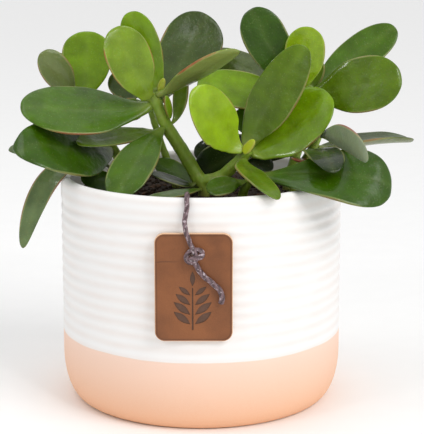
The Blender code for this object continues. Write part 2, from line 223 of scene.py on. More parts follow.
def pot_outline():
    """From the middle of the floor inside, up over the lip, and down to the middle of the base."""
    inner = POT_RADIUS - POT_WALL
    lip = POT_WALL / 2
    corner = (inner - FOOT_WIDTH, POT_FLOOR + FOOT_WIDTH)
    floor_bend = arc(corner, (FOOT_WIDTH, FOOT_WIDTH), -90, 0, 8)
    lip_bend = arc((inner + lip, POT_HEIGHT - lip), (lip, lip), 180, 0, 14)
    foot_bend = arc((POT_RADIUS - FOOT_WIDTH, FOOT_HEIGHT), (FOOT_WIDTH, FOOT_HEIGHT), 0, -90, 20)
    return [(0, POT_FLOOR)] + floor_bend + lip_bend + ring_outline() + foot_bend + [(0, 0)]


def dipped_stoneware():
    """Matte white glaze over peach clay: chalky and smooth, with painted warm shade in bands along the
    ring grooves and a painted warm glow low on the clay.
    """
    made, tree, shader = new_material("dipped_stoneware")
    spot = wire(tree, "TexCoord", out="Object")
    height = wire(tree, "SeparateXYZ", (spot,), "Z")
    sway = wire(tree, "TexNoise", {"Vector": spot, "Scale": 1 / (30 * MM), "Detail": 2.0}, "Fac")
    cloud = wire(tree, "TexNoise", {"Vector": spot, "Scale": 1 / (18 * MM), "Detail": 4.0}, "Fac")
    grain = wire(tree, "TexNoise", {"Vector": spot, "Scale": 1 / (0.7 * MM), "Detail": 3.0}, "Fac")
    lowest = GLAZE_LINE - GLAZE_SWAY / 2
    line = wire(tree, "Math", (sway, GLAZE_SWAY, lowest), operation="MULTIPLY_ADD")
    above = wire(tree, "Math", (height, line), operation="SUBTRACT")
    glazed = wire(tree, "Math", (above, 1 / GLAZE_FADE, 0.5), operation="MULTIPLY_ADD", use_clamp=True)
    # Warm grey bands at the ring pitch, lying in the grooves between the ridges: painted shade.
    bands = {"Vector": spot, "Scale": math.tau / 20 / RING_PITCH, "Distortion": 0.6}
    rings = wire(tree, "TexWave", bands, "Fac", wave_type="BANDS", bands_direction="Z")
    thin = wire(tree, "Math", (rings, cloud), operation="MULTIPLY")
    glaze = wire(tree, "Mix", {0: thin, 6: linear("#F6F5F4"), 7: linear("#EFE7E2")}, 2, data_type="RGBA")
    # The bare clay deepens to a warm orange towards the base: a painted reflected glow.
    low = wire(tree, "Math", (height, -1 / GLAZE_LINE, 1.0), operation="MULTIPLY_ADD", use_clamp=True)
    clay_with_painted_glow = wire(tree, "Mix", {0: low, 6: linear("#F7D6C4"), 7: linear("#F0B283")}, 2, data_type="RGBA")
    speckle = wire(tree, "Math", (grain, 0.35), operation="MULTIPLY")
    clay = wire(tree, "Mix", {0: speckle, 6: clay_with_painted_glow, 7: linear("#F9DCC8")}, 2, data_type="RGBA")
    dipped = wire(tree, "Mix", {0: glazed, 6: clay, 7: glaze}, 2, data_type="RGBA")
    tree.links.new(dipped, shader.inputs["Base Color"])
    rough = wire(tree, "Math", (glazed, -0.22, 0.78), operation="MULTIPLY_ADD")
    tree.links.new(rough, shader.inputs["Roughness"])
    relief = wire(tree, "Math", (cloud, 2.0, grain), operation="MULTIPLY_ADD")
    edge = wire(tree, "Math", (glazed, 3.0, relief), operation="MULTIPLY_ADD")
    bump = wire(tree, "Bump", {"Height": edge, "Strength": 0.35, "Distance": 0.06 * MM}, "Normal")
    tree.links.new(bump, shader.inputs["Normal"])
    return made


pot = turn_outline("stoneware_pot", pot_outline())
pot.data.materials.append(dipped_stoneware())
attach(pot, "root")
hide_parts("pot")

# ---------------------------------------------------------------------------------------------
# Potting mix: dark peat with bits of composted bark, filled to a finger's width under the rim.
# Its top is left loose and uneven.

soil_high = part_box("soil")[1]
SOIL_TOP = soil_high.z
SOIL_RADIUS = POT_RADIUS - POT_WALL - 0.05 * MM
SOIL_DEPTH = 12 * MM
SOIL_RINGS = 44
SOIL_SETTLE = 0.9 * MM
MOUND_SIZE = 16 * MM
MOUND_HEIGHT = 0.9 * MM
CRUMB_SIZE = 3.5 * MM
CRUMB_HEIGHT = 0.7 * MM
CRUMB_COUNT = 900
CHIP_COUNT = 70
dice = random.Random(11)


def soil_height(x, y):
    """The loose surface: low mounds with finer crumbs on them."""
    mounds = noise.noise(Vector((x, y, 0)) / MOUND_SIZE) * MOUND_HEIGHT
    crumbs = noise.noise(Vector((x, y, 5)) / CRUMB_SIZE) * CRUMB_HEIGHT
    return SOIL_TOP - SOIL_SETTLE + mounds + crumbs


def soil_body():
    """A plug that fills the pot's mouth, its top broken up."""
    rings = [(SOIL_RADIUS * step / SOIL_RINGS, SOIL_TOP) for step in range(SOIL_RINGS + 1)]
    under = [(SOIL_RADIUS, SOIL_TOP - SOIL_DEPTH), (0, SOIL_TOP - SOIL_DEPTH)]
    item = turn_outline("potting_mix", rings + under, 120)
    for vert in item.data.vertices:
        if vert.co.z > SOIL_TOP - SOIL_DEPTH / 2:
            vert.co.z = soil_height(vert.co.x, vert.co.y)
    return item


def scatter(name, count, sizes_mm, flatness):
    """Bits of one kind lying on the mix, each a squashed and turned low ball, joined as one."""
    bpy.ops.object.select_all(action="DESELECT")
    bpy.ops.mesh.primitive_ico_sphere_add(subdivisions=1, radius=1)
    item = bpy.context.object
    item.name = name
    ball = np.array([vert.co for vert in item.data.vertices])
    facets = [tuple(face.vertices) for face in item.data.polygons]
    spots = []
    faces = []
    for number in range(count):
        away = (SOIL_RADIUS - 2 * MM) * math.sqrt(dice.random())
        turn = dice.uniform(0, math.tau)
        x, y = away * math.cos(turn), away * math.sin(turn)
        size = dice.uniform(*sizes_mm) * MM / 2
        shape = np.array([dice.uniform(0.8, 1.3), dice.uniform(0.6, 1.0), flatness]) * size
        rough = 1 + np.array([[dice.uniform(-0.2, 0.2)] for _ in ball])
        lean = Matrix.Rotation(dice.uniform(-0.5, 0.5), 3, "X")
        lean = lean @ Matrix.Rotation(dice.uniform(0, math.tau), 3, "Z")
        bit = (ball * rough * shape) @ np.array(lean)
        spots.append(bit + np.array([x, y, soil_height(x, y) + size * flatness * 0.5]))
        faces += [tuple(corner + number * len(ball) for corner in face) for face in facets]
    item.data.clear_geometry()
    item.data.from_pydata(np.concatenate(spots).tolist(), [], faces)
    item.data.update()
    return item


def loose_stuff(name, dark, light, grain_mm, roughness):
    """Peat or bark: dull and broken, its tone changing from crumb to crumb."""
    made, tree, shader = new_material(name)
    spot = wire(tree, "TexCoord", out="Object")
    patch = wire(tree, "TexNoise", {"Vector": spot, "Scale": 1 / (grain_mm * MM), "Detail": 5.0}, "Fac")
    speck = wire(tree, "TexVoronoi", {"Vector": spot, "Scale": 1 / (0.8 * MM)}, "Distance")
    spread = wire(tree, "Math", (patch, 2.4, -0.7), operation="MULTIPLY_ADD", use_clamp=True)
    tone = wire(tree, "Mix", {0: spread, 6: linear(dark), 7: linear(light)}, 2, data_type="RGBA")
    tree.links.new(tone, shader.inputs["Base Color"])
    shader.inputs["Roughness"].default_value = roughness
    bump = wire(tree, "Bump", {"Height": speck, "Strength": 0.6, "Distance": 0.3 * MM}, "Normal")
    tree.links.new(bump, shader.inputs["Normal"])
    return made


def lay_on_soil(item, finish):
    item.data.materials.append(finish)
    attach(item, "root")


soil = soil_body()
lay_on_soil(soil, loose_stuff("peat", "#1A120C", "#3E2C1E", 2.5, 0.95))
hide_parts("soil")
crumbs = scatter("peat_crumbs", CRUMB_COUNT, (1.0, 2.6), 0.7)
lay_on_soil(crumbs, loose_stuff("peat_crumb", "#20160E", "#4A3524", 1.5, 0.95))
chips = scatter("bark_chips", CHIP_COUNT, (3.0, 6.5), 0.3)
lay_on_soil(chips, loose_stuff("composted_bark", "#2E1D12", "#6B4A30", 2.0, 0.85))

# ---------------------------------------------------------------------------------------------
# Stems: thick water-filled jade stems, olive green and browner where they leave the mix, with the
# ring-shaped scars that shed leaves leave behind. The main stem and its side branch are one.

STEM_VOXEL = 0.45 * MM
STEM_SINK = 2.2 * MM
STEM_PLUMP = 0.2 * MM
SCAR_SPACING = 8.5 * MM
SCAR_WIDTH = 0.8 * MM
SCAR_DEPTH = 0.08 * MM
SWELL_OFFSET = 1.5 * MM
SWELL_WIDTH = 2.2 * MM
SWELL_HEIGHT = 0.16 * MM
KNOB_HEIGHT = 0.08 * MM
WOODY_HEIGHT = 42 * MM
QUAD_LIMIT = math.radians(60)


def free_copy(node, name):
    """A welded copy of a CAD node's mesh, as an object of its own."""
    item = bpy.data.objects.new(name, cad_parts[node].data.copy())
    bpy.context.scene.collection.objects.link(item)
    item.data.materials.clear()
    select_only(item)
    bpy.ops.object.mode_set(mode="EDIT")
    bpy.ops.mesh.select_all(action="SELECT")
    bpy.ops.mesh.remove_doubles(threshold=0.00001)
    bpy.ops.mesh.tris_convert_to_quads(face_threshold=QUAD_LIMIT, shape_threshold=QUAD_LIMIT)
    bpy.ops.object.mode_set(mode="OBJECT")
    bpy.ops.object.shade_smooth()
    return item


def apply_modifier(item, name, kind, **settings):
    modifier = item.modifiers.new(name, kind)
    for key, value in settings.items():
        setattr(modifier, key, value)
    select_only(item)
    bpy.ops.object.modifier_apply(modifier=name)


def places(item):
    """The mesh's points as an array."""
    flat = np.empty(len(item.data.vertices) * 3)
    item.data.vertices.foreach_get("co", flat)
    return flat.reshape(-1, 3)


def facings(item):
    """The mesh's point normals as an array."""
    flat = np.empty(len(item.data.vertices) * 3)
    item.data.vertex_normals.foreach_get("vector", flat)
    return flat.reshape(-1, 3)


def put_places(item, spots):
    item.data.vertices.foreach_set("co", np.ascontiguousarray(spots).ravel())
    item.data.update()


def mark(item, name, values):
    """Stores one number per point for the material to read."""
    layer = item.data.attributes.new(name, "FLOAT", "POINT")
    layer.data.foreach_set("value", np.asarray(values, dtype=np.float32))


def lumps(spots, size_mm, seed):
    """Smooth noise in -1..1 at each point."""
    shift = Vector((seed, 0, 0))
    return np.array([noise.noise(Vector(spot) / (size_mm * MM) + shift) for spot in spots])


def grow_stem(node):
    """Fuses the stem, sinks its foot in the mix, and raises the skin before each leaf scar."""
    item = free_copy(node, f"jade_{node}")
    spots = places(item)
    foot = spots[:, 2] < SOIL_TOP + 1 * MM
    spots[foot, 2] -= STEM_SINK
    put_places(item, spots)
    apply_modifier(item, "even", "REMESH", mode="VOXEL", voxel_size=STEM_VOXEL)
    apply_modifier(item, "soften", "SMOOTH", factor=0.5, iterations=8)
    spots = places(item)
    start = spots[spots[:, 2] < spots[:, 2].min() + 1 * MM].mean(0)
    along = np.linalg.norm(spots - start, axis=1) + lumps(spots, 9, 3) * 1.1 * MM
    beat = (along % SCAR_SPACING) - SCAR_SPACING / 2
    scar = np.exp(-((beat / SCAR_WIDTH) ** 2))
    swell = np.exp(-(((beat + SWELL_OFFSET) / SWELL_WIDTH) ** 2))
    knobs = lumps(spots, 3, 8)
    move = swell * SWELL_HEIGHT - scar * SCAR_DEPTH + knobs * KNOB_HEIGHT + STEM_PLUMP
    put_places(item, spots + facings(item) * move[:, None])
    mark(item, "scar", scar)
    mark(item, "rise", np.clip((spots[:, 2] - SOIL_TOP) / WOODY_HEIGHT, 0, 1))
    bpy.ops.object.shade_smooth()
    return item


def stem_skin():
    """Green succulent bark: satin, streaked lengthwise, with brown corky rings and foot."""
    made, tree, shader = new_material("jade_stem_skin")
    spot = wire(tree, "TexCoord", out="Object")
    rise = wire(tree, "Attribute", out="Fac", attribute_name="rise")
    scar = wire(tree, "Attribute", out="Fac", attribute_name="scar")
    tall = wire(tree, "Mapping", {"Vector": spot, "Scale": (1, 1, 0.2)})
    streak = wire(tree, "TexNoise", {"Vector": tall, "Scale": 1 / (1.6 * MM), "Detail": 4.0}, "Fac")
    patch = wire(tree, "TexNoise", {"Vector": spot, "Scale": 1 / (6 * MM), "Detail": 3.0}, "Fac")
    green = wire(tree, "Mix", {0: streak, 6: linear("#688C12"), 7: linear("#98B040")}, 2, data_type="RGBA")
    cork = wire(tree, "Mix", {0: patch, 6: linear("#6A5A34"), 7: linear("#8A7A50")}, 2, data_type="RGBA")
    start = wire(tree, "Math", (patch, 1.2, -0.15), operation="MULTIPLY_ADD")
    woody = wire(tree, "Math", (rise, -3.0, start), operation="MULTIPLY_ADD", use_clamp=True)
    skin = wire(tree, "Mix", {0: woody, 6: green, 7: cork}, 2, data_type="RGBA")
    ringed = wire(tree, "Math", (scar, 0.22), operation="MULTIPLY")
    tone = wire(tree, "Mix", {0: ringed, 6: skin, 7: linear("#6E5B2E")}, 2, data_type="RGBA")
    tree.links.new(tone, shader.inputs["Base Color"])
    shader.inputs["Roughness"].default_value = 0.42
    shader.inputs["Subsurface Weight"].default_value = 0.08
    shader.inputs["Subsurface Scale"].default_value = 1.5 * MM
    bump = wire(tree, "Bump", {"Height": streak, "Strength": 0.4, "Distance": 0.12 * MM}, "Normal")
    tree.links.new(bump, shader.inputs["Normal"])
    return made


bark = stem_skin()
for node in sorted(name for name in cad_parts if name.startswith("stem_")):
    stem = grow_stem(node)
    stem.data.materials.append(bark)
    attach(stem, "root")
    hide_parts(node)

# ---------------------------------------------------------------------------------------------
# Leaves: fleshy jade leaves in pairs, thick in the middle, with a faint fold along the middle and
# a raised rim that blushes red in the sun. Young ones are lime, old ones dark, undersides greyer.

LEAF_LEVELS = 3
SLICES = 14
FOLD_DEPTH = 0.22 * MM
FOLD_WIDTH = 1.3 * MM
RIM_HEIGHT = 0.16 * MM
RIM_WIDTH = 1.1 * MM
MARGIN_WIDTH = 1.5 * MM
MIDDLE_WIDTH = 1.6 * MM
WAVE_HEIGHT = 0.35 * MM
WAVE_LENGTH_MM = 13
LARGE_HALF = 8 * MM
NECK_PLACE = 0.1
NECK_REACH = 0.2
NECK_PINCH = 0.26
STUB_SHARE = 0.08
STUB_STRETCH = 2 * MM

# Tone: upper face, underside, rim colour, strength of the rim
TONES = {
    "lime": ("#8FB012", "#8FA23C", "#94451E", 0.7),
    "bright": ("#6E9000", "#7F9A3C", "#84361A", 0.8),
    "sunned": ("#74901C", "#8C9A50", "#9C3418", 1.0),
    "fresh": ("#446600", "#6F8640", "#842C16", 1.0),
    "grown": ("#567200", "#74864A", "#803A20", 0.85),
    "shaded": ("#426200", "#647640", "#6E3E26", 0.7),
    "dark": ("#345400", "#506434", "#6A4028", 0.6),
    # Near-black copies of the leaf skin for leaves inside the plant: painted shade, with a pale rim as a
    # painted highlight.
    "in_shade": ("#1C2E06", "#2A3818", "#7A7A4A", 0.4),
    "olive": ("#3C4E1A", "#66723A", "#8A3E20", 1.0),
    "sage": ("#566A22", "#6E7C44", "#8A3E2C", 0.9),
    "silver": ("#5A6E40", "#8A9678", "#A04A58", 0.9),
    "red": ("#8A3A20", "#9A4830", "#8A2A24", 0.9),
    "bud": ("#A8B414", "#A0AA28", "#A8702A", 0.3),
}
WEARS = {
    "fresh": ("front_01",),
    "lime": ("side_01", "right_03"),
    "bright": ("front_04", "side_03", "left_01", "right_06", "shoot_front"),
    "sunned": ("front_03", "front_02"),
    "grown": ("right_01", "back_03", "side_02", "side_04", "front_06", "right_07", "back_01"),
    "shaded": ("right_02", "front_07", "right_08", "front_10", "low_02", "front_08"),
    "olive": ("front_05", "back_02", "outer_02"),
    "sage": ("left_02", "right_05"),
    "silver": ("left_05", "left_06", "outer_01"),
    "dark": ("left_04", "right_04", "low_01", "back_04", "left_08", "right_09", "left_03", "left_07"),
    # These leaves are painted near black as shade.
    "in_shade": ("side_05", "side_06", "right_10", "outer_03", "front_09"),
    "red": ("outer_04",),
    "bud": ("bud_front", "bud_side"),
}


def smooth_cage(item, levels):
    """Subdivides, after opening the cage so that the smooth surface meets its first corners."""
    goal = places(item)
    count = len(goal)
    cage = goal.copy()
    for _ in range(3):
        trial = item.copy()
        trial.data = item.data.copy()
        bpy.context.scene.collection.objects.link(trial)
        put_places(trial, cage)
        apply_modifier(trial, "trial", "SUBSURF", levels=2, render_levels=2)
        cage += (goal - places(trial)[:count]) * 0.9
        bpy.data.objects.remove(trial)
    put_places(item, cage)
    apply_modifier(item, "flesh", "SUBSURF", levels=levels, render_levels=levels)


class Blade:
    """Where each point of a leaf lies: along it, across it, and above or below its middle."""

    def __init__(self, spots, base):
        centre = spots.mean(0)
        main = np.linalg.svd(spots - centre, full_matrices=False)[2][0]
        reach = (spots - centre) @ main
        ends = spots[[reach.argmin(), reach.argmax()]]
        if np.linalg.norm(ends[1] - base) < np.linalg.norm(ends[0] - base):
            ends = ends[::-1]
        chord = ends[1] - ends[0]
        share = np.clip((spots - ends[0]) @ chord / (chord @ chord), 0, 1)
        knots = np.linspace(0, 1, SLICES + 1)
        self.line = self.spread(spots, share, knots, ends)
        for _ in range(2):
            share = self.nearest(spots)
            self.line = self.spread(spots, share, knots, ends)
        self.share = self.nearest(spots)
        self.frames(spots, knots)

    def spread(self, spots, share, knots, ends):
        """The middle line: the mean of each slice's outline."""
        line = [ends[0]]
        for knot in knots[1:-1]:
            near = np.abs(share - knot) < 0.6 / SLICES
            slab = spots[near]
            line.append((slab.min(0) + slab.max(0)) / 2 if len(slab) else line[-1])
        line.append(ends[1])
        line = np.array(line)
        line[1:-1] = (line[:-2] + line[1:-1] * 2 + line[2:]) / 4
        return line

    def nearest(self, spots):
        """How far along the middle line each point is, from 0 to 1."""
        best = np.full(len(spots), 1e9)
        share = np.zeros(len(spots))
        for number, (a, b) in enumerate(zip(self.line, self.line[1:])):
            step = b - a
            t = np.clip((spots - a) @ step / (step @ step + 1e-18), 0, 1)
            gap = np.linalg.norm(spots - a - t[:, None] * step, axis=1)
            closer = gap < best
            best[closer] = gap[closer]
            share[closer] = (number + t[closer]) / SLICES
        return share

    def read(self, table, knots):
        return np.stack([np.interp(self.share, knots, column) for column in np.array(table).T], 1)

    def frames(self, spots, knots):
        slopes = np.gradient(self.line, axis=0)
        slopes /= np.linalg.norm(slopes, axis=1)[:, None] + 1e-12
        across = []
        for knot, middle, slope in zip(knots, self.line, slopes):
            off = spots[np.abs(self.share - min(0.9, max(0.12, knot))) < 0.8 / SLICES] - middle
            off = off - np.outer(off @ slope, slope)
            side = np.linalg.svd(off - off.mean(0), full_matrices=False)[2][0]
            if across and side @ across[-1] < 0:
                side = -side
            across.append(side)
        middle = self.read(self.line, knots)
        self.slope = self.read(slopes, knots)
        self.side = self.read(across, knots)
        self.side -= self.slope * (self.side * self.slope).sum(1)[:, None]
        self.side /= np.linalg.norm(self.side, axis=1)[:, None]
        self.up = np.cross(self.slope, self.side)
        self.offset = ((spots - middle) * self.side).sum(1)
        wide = []
        for knot in knots:
            near = np.abs(self.share - knot) < 0.7 / SLICES
            wide.append(np.abs(self.offset[near]).max() if near.any() else 0)
        self.half = np.maximum(np.interp(self.share, knots, wide), 0.2 * MM)
        self.across = np.clip(self.offset / self.half, -1, 1)
        lift = ((spots - middle) * self.up).sum(1)
        body = (self.share > 0.3) & (self.share < 0.8)
        edges = body & (np.abs(self.across) > 0.85)
        core = body & (np.abs(self.across) < 0.3)
        if lift[edges].mean() < lift[core].mean():
            self.up = -self.up


def nearest_stem_point(spots, node):
    """The point of the leaf's stem that lies closest to the leaf."""
    key = node.split("_")[1]
    stem = places(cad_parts["stem_front" if key == "side" else f"stem_{key}"])
    gaps = np.linalg.norm(spots[:, None, :] - stem[None, :, :], axis=2)
    return stem[np.unravel_index(gaps.argmin(), gaps.shape)[1]]


def grow_leaf(node, seed):
    """Rounds a leaf, then folds, rims, waves and necks it, and stretches its foot to the stem."""
    item = free_copy(node, f"jade_{node}")
    base = nearest_stem_point(places(item), node)
    smooth_cage(item, LEAF_LEVELS)
    spots = places(item)
    blade = Blade(spots, base)
    facing = facings(item)
    top = (facing * blade.up).sum(1)
    upper = np.clip(top * 1.6 + 0.5, 0, 1)
    edge = (1 - np.abs(blade.across)) * blade.half
    fade = np.clip(blade.share * 5, 0, 1) * np.clip((1 - blade.share) * 4, 0, 1)
    fold = np.exp(-((blade.offset / FOLD_WIDTH) ** 2)) * upper * (1 - blade.share * 0.8) * fade
    rim = np.exp(-(((edge - RIM_WIDTH * 0.6) / (RIM_WIDTH * 0.7)) ** 2)) * fade
    large = np.clip(blade.half / LARGE_HALF, 0, 1)
    wave = lumps(spots, WAVE_LENGTH_MM, seed) * WAVE_HEIGHT * large * fade
    relief = (rim * RIM_HEIGHT - fold * FOLD_DEPTH) * large
    move = facing * relief[:, None] + blade.up * wave[:, None]
    neck = NECK_PINCH * np.exp(-(((blade.share - NECK_PLACE) / NECK_REACH) ** 2)) * large
    narrow = blade.side * (blade.offset * neck)[:, None]
    stub = np.clip(1 - blade.share / STUB_SHARE, 0, 1)
    toward = base - spots[blade.share < 0.03].mean(0)
    toward *= min(1, STUB_STRETCH / np.linalg.norm(toward))
    put_places(item, spots + move - narrow + toward * stub[:, None])
    mark(item, "margin", np.clip(1 - edge / MARGIN_WIDTH, 0, 1) * np.clip(blade.share * 6, 0, 1))
    mark(item, "along", blade.share)
    mark(item, "under", np.clip(0.5 - top * 3, 0, 1))
    mark(item, "middle", np.exp(-((blade.offset / MIDDLE_WIDTH) ** 2)))
    bpy.ops.object.shade_smooth()
    return item


def leaf_skin(tone):
    """Waxy succulent skin: a soft gloss over mottled green, pale pores, and a red rim, which is pale, a
    painted highlight, on the leaves in painted shade.
    """
    upper, lower, rim, strength = TONES[tone]
    made, tree, shader = new_material(f"jade_leaf_{tone}")
    spot = wire(tree, "TexCoord", out="Object")
    under = wire(tree, "Attribute", out="Fac", attribute_name="under")
    along = wire(tree, "Attribute", out="Fac", attribute_name="along")
    margin = wire(tree, "Attribute", out="Fac", attribute_name="margin")
    middle = wire(tree, "Attribute", out="Fac", attribute_name="middle")
    cloud = wire(tree, "TexNoise", {"Vector": spot, "Scale": 1 / (9 * MM), "Detail": 4.0}, "Fac")
    fleck = wire(tree, "TexNoise", {"Vector": spot, "Scale": 1 / (1.1 * MM), "Detail": 3.0}, "Fac")
    ripple = wire(tree, "TexNoise", {"Vector": spot, "Scale": 1 / (5 * MM), "Detail": 2.0}, "Fac")
    pores = wire(tree, "TexVoronoi", {"Vector": spot, "Scale": 1 / (1.5 * MM)}, "Distance")
    pore = wire(tree, "Math", (pores, -7.0, 1.6), operation="MULTIPLY_ADD", use_clamp=True)
    patch = wire(tree, "Math", (cloud, 2.2, -0.6), operation="MULTIPLY_ADD", use_clamp=True)
    neck = wire(tree, "Math", (along, -6.0, 0.9), operation="MULTIPLY_ADD", use_clamp=True)
    pale = wire(tree, "Math", (margin, 2.5, -0.6), operation="MULTIPLY_ADD", use_clamp=True)
    shade = tuple(0.72 * c for c in linear(upper)[:3]) + (1,)
    sun = tuple(min(1, 1.22 * c) for c in linear(upper)[:3]) + (1,)
    dull = tuple(0.8 * c for c in linear(lower)[:3]) + (1,)
    face = wire(tree, "Mix", {0: patch, 6: shade, 7: sun}, 2, data_type="RGBA")
    back = wire(tree, "Mix", {0: fleck, 6: dull, 7: linear(lower)}, 2, data_type="RGBA")
    skin = wire(tree, "Mix", {0: under, 6: face, 7: back}, 2, data_type="RGBA")
    tints = (
        (neck, 0.5, "#A3B35A"),
        (middle, 0.04, "#B9C97A"),
        (pore, 0.09, "#C9D69A"),
        (pale, 0.35, "#B7BE78"),
    )
    for mask, amount, tint in tints:
        share = wire(tree, "Math", (mask, amount), operation="MULTIPLY")
        skin = wire(tree, "Mix", {0: share, 6: skin, 7: linear(tint)}, 2, data_type="RGBA")
    # The rim colour: the leaf's own red on most tones, a painted highlight on the leaves in painted shade.
    uneven = wire(tree, "Math", (cloud, 2.0, -0.35), operation="MULTIPLY_ADD", use_clamp=True)
    outer = wire(tree, "Math", (margin, 3.0, -1.5), operation="MULTIPLY_ADD", use_clamp=True)
    broken = wire(tree, "Math", (outer, uneven), operation="MULTIPLY")
    rim_blush_and_highlight = wire(tree, "Math", (broken, strength), operation="MULTIPLY")
    skin = wire(tree, "Mix", {0: rim_blush_and_highlight, 6: skin, 7: linear(rim)}, 2, data_type="RGBA")
    tree.links.new(skin, shader.inputs["Base Color"])
    rough = wire(tree, "Math", (fleck, 0.16, 0.24), operation="MULTIPLY_ADD")
    tree.links.new(rough, shader.inputs["Roughness"])
    shader.inputs["Specular IOR Level"].default_value = 0.25
    shader.inputs["Coat Weight"].default_value = 0.3
    shader.inputs["Coat Roughness"].default_value = 0.1
    shader.inputs["Subsurface Weight"].default_value = 0.1
    shader.inputs["Subsurface Scale"].default_value = 2 * MM
    swells = wire(tree, "Math", (ripple, 6.0, fleck), operation="MULTIPLY_ADD")
    relief = wire(tree, "Math", (pore, -0.4, swells), operation="MULTIPLY_ADD")
    bump = wire(tree, "Bump", {"Height": relief, "Strength": 0.7, "Distance": 0.12 * MM}, "Normal")
    tree.links.new(bump, shader.inputs["Normal"])
    return made


seed = 0
for tone, worn_by in WEARS.items():
    skin = leaf_skin(tone)
    for name in worn_by:
        seed += 1
        node = name if name.startswith(("bud", "shoot")) else f"leaf_{name}"
        leaf = grow_leaf(node, seed * 7.3)
        leaf.data.materials.append(skin)
        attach(leaf, "root")
        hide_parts(node)

# ---------------------------------------------------------------------------------------------
# Tag: thick vegetable-tanned leather, cut out with round corners. A plain sprig is pressed into
# its face and darkened by the heat of the stamp. The cord's knot lies over its hole.

tag_low, tag_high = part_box("tag")
TAG_MIDDLE = (tag_low + tag_high) / 2
TAG_CORNER = 4.6 * MM
TAG_HOLE = 4.4 * MM
TAG_EDGE = 0.5 * MM
LINE_INSET = 1.0 * MM
LINE_WIDTH = 0.4 * MM
CREASE_RISE = 11.5 * MM
CREASE_WIDTH = 0.45 * MM
STAMP_DEPTH = 0.35 * MM
STAMP_SIZE = 27 * MM
STAMP_LEFT = 0.5 * MM
STAMP_DROP = 6.5 * MM
STAMP_REACH_X = 16 * MM
STAMP_REACH_Z = 24 * MM
LEAFLET_STEPS = 12
LEAFLET_TURN = math.radians(38)
LEAFLET_PLUMP = 0.17
HOLE_DROP = 25 * MM
FACE, CUT_EDGE, STAMP_FLOOR, STAMP_WALL = range(4)


def tag_blank():
    """A plate with round corners, its front edge broken by a small bevel."""
    bpy.ops.object.select_all(action="DESELECT")
    bpy.ops.mesh.primitive_cube_add(size=1, location=TAG_MIDDLE)
    item = bpy.context.object
    item.name = "leather_tag"
    item.scale = tag_high - tag_low
    bpy.ops.object.transform_apply(location=True, rotation=True, scale=True)
    bpy.ops.object.mode_set(mode="EDIT")
    bpy.ops.mesh.select_mode(type="EDGE")
    bpy.ops.mesh.select_all(action="DESELECT")
    bpy.ops.object.mode_set(mode="OBJECT")
    for edge in item.data.edges:
        a, b = (item.data.vertices[corner].co for corner in edge.vertices)
        edge.select = abs(a.y - b.y) > 1 * MM
    bpy.ops.object.mode_set(mode="EDIT")
    bpy.ops.mesh.bevel(offset=TAG_CORNER, segments=12)
    bpy.ops.object.mode_set(mode="OBJECT")
    corners = {"limit_method": "ANGLE", "angle_limit": math.radians(60)}
    apply_modifier(item, "broken_edge", "BEVEL", width=TAG_EDGE, segments=4, **corners)
    return item


def hole_punch():
    """A rod through the tag, where its hole is to be."""
    place = (TAG_MIDDLE.x, TAG_MIDDLE.y, POT_HEIGHT - HOLE_DROP)
    lying = (math.pi / 2, 0, 0)
    size = {"vertices": 40, "radius": TAG_HOLE / 2, "depth": 10 * MM}
    bpy.ops.mesh.primitive_cylinder_add(location=place, rotation=lying, **size)
    return bpy.context.object


def almond(base, turn, length):
    """The outline of one leaflet, pointed at both ends, that leaves its base at an angle."""
    shares = [step / LEAFLET_STEPS for step in range(LEAFLET_STEPS + 1)]
    upper = [(length * t, length * LEAFLET_PLUMP * math.sin(math.pi * t)) for t in shares]
    outline = upper + [(x, -y) for x, y in upper[-2:0:-1]]
    c, s = math.cos(turn), math.sin(turn)
    return [(base[0] + x * c - y * s, base[1] + x * s + y * c) for x, y in outline]


def stamp_shapes():
    """A plain upright sprig: a thin stalk, four pairs of leaflets and one at the tip."""
    stalk = [(-0.014, 0.0), (0.014, 0.0), (0.010, 0.74), (-0.010, 0.74)]
    shapes = [stalk, almond((0, 0.77), math.pi / 2, 0.26)]
    for level, length in ((0.10, 0.36), (0.27, 0.36), (0.44, 0.32), (0.61, 0.25)):
        shapes.append(almond((0.04, level), LEAFLET_TURN, length))
        shapes.append(almond((-0.04, level), math.pi - LEAFLET_TURN, length))
    return shapes


def stamp_die():
    """The sprig as one flat curve, made solid and stood in the tag's face."""
    drawn = bpy.data.curves.new("stamp", "CURVE")
    drawn.dimensions = "2D"
    drawn.fill_mode = "BOTH"
    drawn.extrude = STAMP_DEPTH
    for shape in stamp_shapes():
        line = drawn.splines.new("POLY")
        line.points.add(len(shape) - 1)
        line.use_cyclic_u = True
        for point, (x, y) in zip(line.points, shape):
            point.co = (x * STAMP_SIZE, (y - 0.5) * STAMP_SIZE, 0, 1)
    item = bpy.data.objects.new("stamp", drawn)
    bpy.context.scene.collection.objects.link(item)
    item.rotation_euler = (math.pi / 2, 0, 0)
    item.location = (TAG_MIDDLE.x - STAMP_LEFT, tag_low.y, TAG_MIDDLE.z - STAMP_DROP)
    select_only(item)
    bpy.ops.object.convert(target="MESH")
    bpy.ops.object.mode_set(mode="EDIT")
    bpy.ops.mesh.select_all(action="SELECT")
    bpy.ops.mesh.remove_doubles(threshold=0.000001)
    bpy.ops.mesh.normals_make_consistent(inside=False)
    bpy.ops.object.mode_set(mode="OBJECT")
    return item


def cut_with(item, cutter):
    apply_modifier(item, "cut", "BOOLEAN", operation="DIFFERENCE", solver="EXACT", object=cutter)
    bpy.data.objects.remove(cutter)


